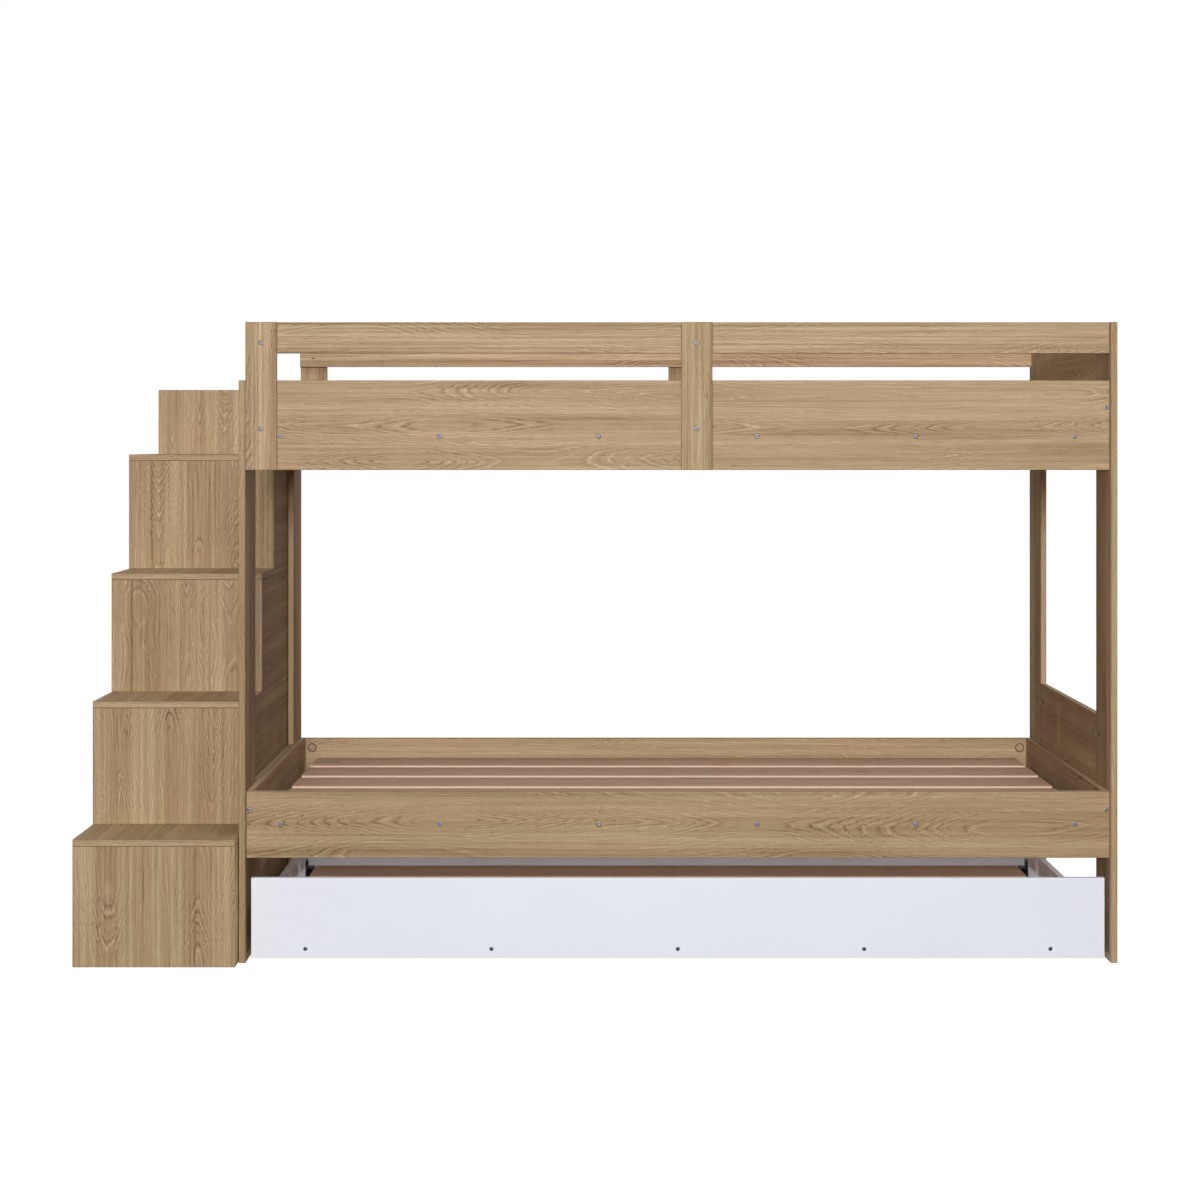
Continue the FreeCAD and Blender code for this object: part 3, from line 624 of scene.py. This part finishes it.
def turned(name, rings, sides):
    """A closed turned mesh. Each ring is a radius, or a function of the angle that gives it, and a height.

    Its points keep how far out they are, as a share of the widest, for the finish to read."""
    shape = bmesh.new()
    loops = []
    for radius, height in rings:
        loop = []
        for side in range(sides):
            angle = 2 * math.pi * side / sides
            reach = radius(angle) if callable(radius) else radius
            loop.append(shape.verts.new((reach * math.cos(angle), reach * math.sin(angle), height)))
        loops.append(loop)
    widest = max(vert.co.xy.length for vert in shape.verts)
    for loop, after in zip(loops, loops[1:]):
        for side in range(sides):
            following = (side + 1) % sides
            shape.faces.new((loop[side], loop[following], after[following], after[side]))
    shape.faces.new(loops[0])
    shape.faces.new(loops[-1])
    bmesh.ops.recalc_face_normals(shape, faces=shape.faces)
    mesh = bpy.data.meshes.new(name)
    shape.to_mesh(mesh)
    shape.free()
    mesh.shade_smooth()
    mesh.set_sharp_from_angle(angle=CREASE)
    reach = mesh.attributes.new("reach", "FLOAT", "POINT")
    reach.data.foreach_set("value", [vert.co.xy.length / widest for vert in mesh.vertices])
    return mesh


def hexagon(corner):
    """The radius of a hexagon at each angle."""
    flat = corner * math.cos(math.pi / 6)
    return lambda angle: flat / math.cos(angle % (math.pi / 3) - math.pi / 6)


def cross(reach, half_width):
    """The radius of a cross recess at each angle."""
    def radius(angle):
        level, upright = abs(math.cos(angle)) + MERGE_DISTANCE, abs(math.sin(angle)) + MERGE_DISTANCE
        return max(min(reach / level, half_width / upright), min(reach / upright, half_width / level))
    return radius


def screw_mesh(name, head, length):
    """A pan-head screw with a hexagon socket and a thread. It points down from its head's top at zero."""
    radius = head / 2
    shank = radius * SCREW_SHANK_SHARE
    socket = radius * SCREW_SOCKET_SHARE
    under = -SCREW_HEAD_HEIGHT
    rings = [(hexagon(socket * 0.85), -SCREW_SOCKET_DEPTH), (hexagon(socket), -0.06 * SCREW_SOCKET_DEPTH),
             (hexagon(socket * 1.08), 0)]
    rings += [(radius * 0.68, 0), (radius * 0.84, under * 0.1), (radius * 0.95, under * 0.3),
              (radius, under * 0.62), (radius, under * 0.94), (radius * 0.98, under), (shank, under)]
    turns = int((length - SCREW_HEAD_HEIGHT) / SCREW_PITCH)
    for turn in range(turns):
        top = under - turn * SCREW_PITCH
        rings += [(shank * SCREW_ROOT_SHARE, top - SCREW_PITCH * 0.35), (shank, top - SCREW_PITCH * 0.85)]
    rings.append((shank * 0.2, -length))
    return turned(name, rings, SCREW_SIDES)


def cam_mesh(name, diameter, depth):
    """A cam disc with a cross recess in its face, which is at zero."""
    radius = diameter / 2
    recess = [(cross(radius * 0.42, radius * 0.1), -CAM_RECESS_DEPTH),
              (cross(radius * CAM_RECESS_SHARE, radius * 0.14), -CAM_LIP),
              (cross(radius * 0.53, radius * 0.17), 0)]
    groove = [(radius * 0.66, 0), (radius * 0.7, -CAM_GROOVE_DEPTH), (radius * 0.78, -CAM_GROOVE_DEPTH),
              (radius * 0.82, 0), (radius * 0.95, 0)]
    waist = [(radius, -CAM_FACE_EASE), (radius, -depth * 0.42), (radius * 0.8, -depth * 0.46),
             (radius * 0.8, -depth * 0.8), (radius, -depth * 0.84), (radius, -depth + CAM_BACK_EASE),
             (radius * 0.96, -depth)]
    return turned(name, recess + groove + waist, CAM_SIDES)


def bolt_mesh(name, diameter, length):
    """A cam bolt: a rod with a ball at each end."""
    radius = diameter / 2
    ball = [(radius * math.sin(angle), -radius * (1 - math.cos(angle)))
            for angle in (0.25, 0.6, 1.0, 1.4, 1.8, 2.2)]
    far_ball = [(ring, -length - height) for ring, height in reversed(ball)]
    return turned(name, ball + far_ball, SCREW_SIDES)


def cap_mesh(name, diameter, height):
    """A thin cover cap with a pressed ring. It sits on zero and stands up by its height."""
    radius = diameter / 2
    rings = [(radius * 0.2, height), (radius * 0.78, height * 0.96), (radius * 0.82, height * 0.62),
             (radius * 0.87, height * 0.62), (radius * 0.9, height * 0.94), (radius * 0.96, height * 0.86),
             (radius * 0.99, height * 0.5), (radius, height * 0.08), (radius * 0.99, 0)]
    return turned(name, rings, CAP_SIDES)


def set_in_place(name, meshes, spots, finish):
    """One piece of many fittings. A spot is a place, the way it faces and which mesh it gets."""
    fittings = bpy.data.collections.new(name + "_patterns")
    for number, mesh in enumerate(meshes):
        fittings.objects.link(bpy.data.objects.new(f"{name}_{number}", mesh))
    points = bpy.data.meshes.new(name)
    points.from_pydata([place for place, facing, kind in spots], [], [])
    facings = points.attributes.new("facing", "FLOAT_VECTOR", "POINT")
    facings.data.foreach_set("vector", [part for place, facing, kind in spots for part in facing])
    kinds = points.attributes.new("kind", "INT", "POINT")
    kinds.data.foreach_set("value", [kind for place, facing, kind in spots])
    piece = grown(name, points, fitting_tree(), {"Fittings": fittings, "Finish": finish})
    for pattern in list(fittings.objects):
        bpy.data.objects.remove(pattern)
    bpy.data.collections.remove(fittings)
    return piece


def screw_set(name, node, finish):
    """Detailed screws where a node's plain ones are, head out."""
    meshes = {}
    spots = []
    for points in separate_solids(node):
        low, high = extent(points)
        size = high - low
        axis = max(range(3), key=lambda each: size[each])
        middle = (low + high) / 2
        middle[axis] = 0
        widest = max(points, key=lambda point: (point * (Vector((1, 1, 1)) - AXES[axis]) - middle).length)
        direction = 1 if widest[axis] - low[axis] > high[axis] - widest[axis] else -1
        kind = (round(max(size[each] for each in range(3) if each != axis), 4), round(size[axis], 4))
        if kind not in meshes:
            meshes[kind] = screw_mesh(f"{name}_pattern", *kind)
        spots.append((end_of(low, high, axis, direction), AXES[axis] * direction, list(meshes).index(kind)))
    return set_in_place(name, list(meshes.values()), spots, finish)


def towards_middle(low, high, axis):
    """The way along an axis that looks from a fitting into the berth."""
    berth_low, berth_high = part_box("lower_slats")
    return 1 if (low + high)[axis] < (berth_low + berth_high)[axis] else -1


def cam_set(name, node, finish):
    """Cam discs that face into the bed, and their bolts."""
    meshes = {}
    spots = []
    for points in separate_solids(node):
        low, high = extent(points)
        size = sorted((round(high[axis] - low[axis], 4), axis) for axis in range(3))
        disc = size[2][0] < 2 * size[0][0]
        axis = size[0][1] if disc else size[2][1]
        kind = (cam_mesh, size[2][0], size[0][0]) if disc else (bolt_mesh, size[0][0], size[2][0])
        direction = towards_middle(low, high, axis)
        if kind not in meshes:
            make, first, second = kind
            meshes[kind] = make(f"{name}_pattern", first, second)
        spots.append((end_of(low, high, axis, direction), AXES[axis] * direction, list(meshes).index(kind)))
    return set_in_place(name, list(meshes.values()), spots, finish)


def cap_set(name, node, finish):
    """Cover caps on the rails' inner faces."""
    spots = []
    for points in separate_solids(node):
        low, high = extent(points)
        size = high - low
        axis = min(range(3), key=lambda each: size[each])
        direction = towards_middle(low, high, axis)
        spots.append((end_of(low, high, axis, -direction), AXES[axis] * direction, 0))
    # The caps are all alike, so one mesh serves them all
    mesh = cap_mesh(f"{name}_pattern", max(size), min(size))
    return set_in_place(name, [mesh], spots, finish)


def slat_row(name, node, finish):
    """Slats with eased arrises where a node's square ones are."""
    boxes = sorted((extent(points) for points in separate_solids(node)), key=lambda box: box[0].y)
    low, high = boxes[0]
    size = high - low
    first = Vector((low.x, (low.y + high.y) / 2, (low.z + high.z) / 2))
    step = (boxes[-1][0].y - low.y) / (len(boxes) - 1)
    return grown(name, bpy.data.meshes.new(name), slat_tree(), {
        "Length": size.x, "Width": size.y, "Thickness": size.z, "Arris": SLAT_ARRIS,
        "Count": len(boxes), "Step": step, "First": first, "Finish": finish})


def wheel(node, finish):
    """A caster wheel: rounded tread, dished sides and a raised hub round its bore."""
    low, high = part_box(node)
    centre = (low + high) / 2
    radius = (high.z - low.z) / 2
    half = (high.x - low.x) / 2
    bore = radius * WHEEL_BORE_SHARE
    hub = [(bore, half * 0.98), (bore * 1.9, half * 0.98), (bore * 2.05, half * 0.9),
           (bore * 2.2, half * 0.66)]
    rim = [(radius * 0.68, half * 0.66), (radius * 0.74, half * 0.9), (radius * 0.78, half),
           (radius * 0.9, half), (radius * 0.97, half * 0.86), (radius, half * 0.6)]
    side = hub + rim
    other_side = [(ring, -height) for ring, height in reversed(side)]
    mesh = turned(node + "_moulded", side + other_side, WHEEL_SIDES)
    for vert in mesh.vertices:
        x, y, z = vert.co
        vert.co = centre + Vector((z, x, y))
    mesh.materials.append(finish)
    piece = bpy.data.objects.new(node + "_moulded", mesh)
    bpy.context.scene.collection.objects.link(piece)
    return piece


def light(name, kind, away, strength, **settings):
    """A lamp that shines on the middle of the part from a place so far away from it."""
    lamp = bpy.data.objects.new(name, bpy.data.lights.new(name, kind))
    lamp.data.energy = strength
    for setting, value in settings.items():
        setattr(lamp.data, setting, value)
    lamp.location = MIDDLE + Vector(away)
    lamp.rotation_mode = "QUATERNION"
    lamp.rotation_quaternion = (-Vector(away)).to_track_quat("-Z", "Y")
    lamp.visible_camera = False
    bpy.context.scene.collection.objects.link(lamp)


def studio():
    """Soft light from the front and above, weaker light on the other sides, and a white room.

    The room looks white but gives little light. Lamps below the floor's level light the outer sides and the
    back, and little of their light reaches the bunks' inner faces, which stay dark."""
    light("key_light", "AREA", away=(-0.4, -12, 2), strength=938, shape="DISK", size=2.4)
    light("high_front_light", "SUN", away=(0, -5, 3.2), strength=0.14 * WHITE_SUN, angle=math.radians(50))
    light("overhead_light", "AREA", away=(0.3, -1.5, 3.3), strength=32, shape="DISK", size=2.0)
    light("back_light", "SUN", away=(0.8, 5, 2.5), strength=0.16 * WHITE_SUN, angle=math.radians(60))
    for side, way in {"right": (1, 0), "left": (-1, 0), "back": (0, 1)}.items():
        light(f"{side}_floor_bounce", "SUN", away=(*way, -0.7), strength=0.34 * WHITE_SUN,
              angle=math.radians(24))

    world = bpy.data.worlds.new("white_room")
    bpy.context.scene.world = world
    world.use_nodes = True
    room = NodeTree(world.node_tree)
    world.node_tree.nodes.clear()
    up = room.split(room.node("ShaderNodeTexCoord").output("Generated"))[2]
    seen = room.node("ShaderNodeBackground", inputs={"Color": grey(1.0), "Strength": 1.0})
    strength = 0.03 + 0.25 * up.smooth(0, 1)
    shed = room.node("ShaderNodeBackground", inputs={"Color": paint(255, 251, 238), "Strength": strength})
    path = room.node("ShaderNodeLightPath")
    both = room.node("ShaderNodeMixShader", inputs={0: path.output("Is Camera Ray"), 1: shed, 2: seen})
    room.node("ShaderNodeOutputWorld", inputs={"Surface": both})
    bpy.context.scene.view_settings.view_transform = "Standard"


def pale_floor():
    """A pale floor that fades into the white room. It neither lights the part nor shades it from below."""
    corners = ((-1, -1), (1, -1), (1, 1), (-1, 1))
    mesh = bpy.data.meshes.new("pale_floor")
    points = [(x * FLOOR_REACH, y * FLOOR_REACH, -FLOOR_DROP) for x, y in corners]
    mesh.from_pydata(points, [], [range(len(points))])
    finish = Finish("floor_paint", Specular_IOR_Level=0.0, Emission_Color=grey(1.0), Emission_Strength=0.94)
    x, y, z = finish.point()
    cloud = finish.noise(x * 2, y * 2, detail=2.0)
    colour = finish.ramp(cloud, (0.3, grey(0.27)), (0.7, grey(0.3)))
    mesh.materials.append(finish.surface(colour, roughness=0.9))
    floor = bpy.data.objects.new("pale_floor", mesh)
    floor.visible_diffuse = False
    floor.visible_glossy = False
    floor.visible_shadow = False
    bpy.context.scene.collection.objects.link(floor)


def camera():
    lens = bpy.data.cameras.new("front_camera")
    lens.sensor_width = SENSOR_WIDTH
    lens.lens = FOCAL_PIXELS / PICTURE * SENSOR_WIDTH
    lens.shift_x = 0.5 - VANISHING_POINT[0] / PICTURE
    lens.shift_y = VANISHING_POINT[1] / PICTURE - 0.5
    viewer = bpy.data.objects.new("front_camera", lens)
    viewer.location = CAMERA_PLACE
    viewer.rotation_euler = (math.pi / 2, 0, 0)
    bpy.context.scene.collection.objects.link(viewer)
    bpy.context.scene.camera = viewer


# Boards and other CAD pieces whose shape stays
slat_pine = planed_pine("pine_along_x", along=0)
bar_pine = planed_pine("pine_along_y", along=1)
bracket_finish = fine_texture("bracket_powder_coat", paint(34, 34, 37), paint(52, 52, 56), roughness=0.42)
axle_finish = metal("axle_steel_plating", paint(150, 152, 156), paint(192, 194, 198),
                    roughness=0.3, scale=300)
wheel_finish = fine_texture("wheel_nylon", paint(20, 20, 22), paint(34, 34, 37), roughness=0.5)
dress(nodes_in("oak_board"), oak)
dress(nodes_in("white_board"), white_board)
dress(nodes_in("pine"), lambda node, number: slat_pine if node.endswith("slats") else bar_pine)
dress(nodes_in("bracket_steel"), lambda node, number: bracket_finish)
dress(nodes_in("axle_steel"), lambda node, number: axle_finish)

# Slats, screws, cams and caps
for body, node in (("bed", "upper_slats"), ("bed", "lower_slats"), ("trundle", "trundle_slats")):
    stand_for(slat_row(f"{node}_planed", node, slat_pine), body, "pine", node)
bright_screw = metal("bright_screw", paint(134, 136, 143), paint(166, 167, 172), roughness=0.55, scale=420,
                     recess=SCREW_SOCKET_SHARE)
dark_screw = metal("dark_screw", paint(84, 86, 96), paint(118, 120, 130), roughness=0.38, scale=420,
                   recess=SCREW_SOCKET_SHARE)
cast_zinc = metal("cast_zinc", paint(92, 94, 98), paint(134, 136, 140), roughness=0.5, scale=260,
                  recess=CAM_RECESS_SHARE)
stand_for(screw_set("bed_screws_threaded", "bed_screws", bright_screw), "bed", "screw_steel", "bed_screws")
stand_for(screw_set("trundle_screws_threaded", "trundle_screws", dark_screw), "trundle", "screw_steel",
          "trundle_screws")
stand_for(cam_set("cam_locks_cast", "cam_locks", cast_zinc), "bed", "cam_zinc", "cam_locks")
stand_for(cap_set("cover_caps_pressed", "cover_caps", foil_cap("cap_print")), "bed", "cap_plastic",
          "cover_caps")
for node in nodes_in("wheel_plastic"):
    stand_for(wheel(node, wheel_finish), node, "wheel_plastic", node)

# The studio
studio()
pale_floor()
camera()
